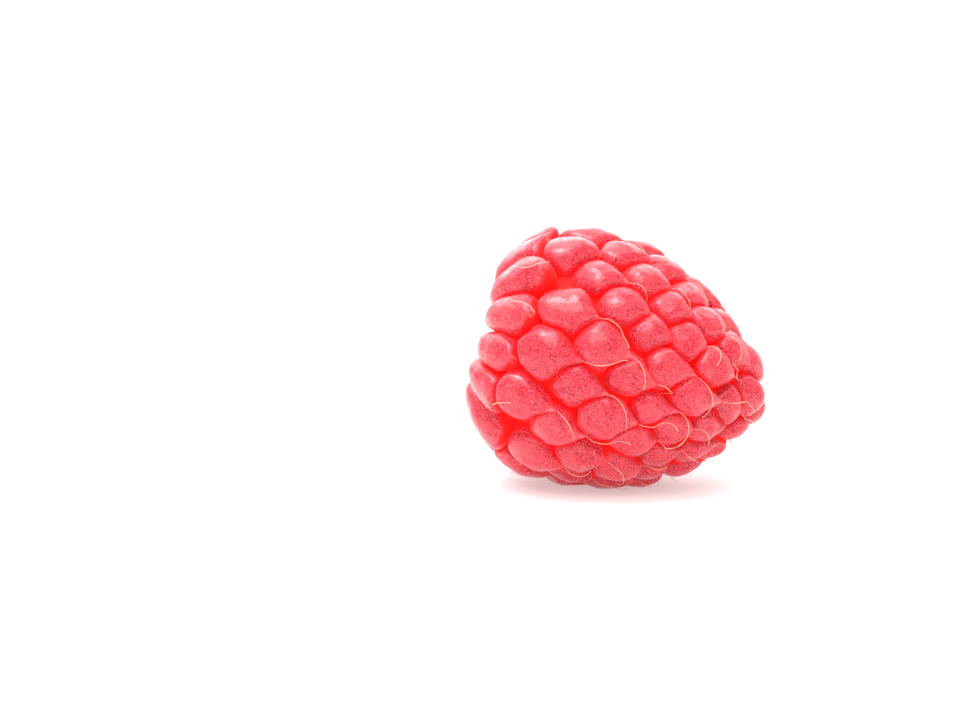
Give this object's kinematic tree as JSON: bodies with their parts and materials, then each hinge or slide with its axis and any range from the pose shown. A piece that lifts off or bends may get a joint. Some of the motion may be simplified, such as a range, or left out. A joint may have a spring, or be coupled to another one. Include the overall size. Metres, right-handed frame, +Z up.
{
  "type": "raspberry",
  "caption": "Picked red raspberry lying on its side: small plump drupelets pressed together in a blunt cone round a hollow that is open at the stem end.",
  "frame": {"origin": "on the surface that the berry lies on, under the middle of its bounding box", "axes": "+X along the berry from its mouth to its tip, which points 13 degrees down; +Z up"},
  "size_m": [0.0256, 0.0226, 0.0227],
  "materials": {
    "skin": "soft satin with a fine down"
  },
  "bodies": {
    "root": {"berry": "skin"}
  },
  "joints": []
}
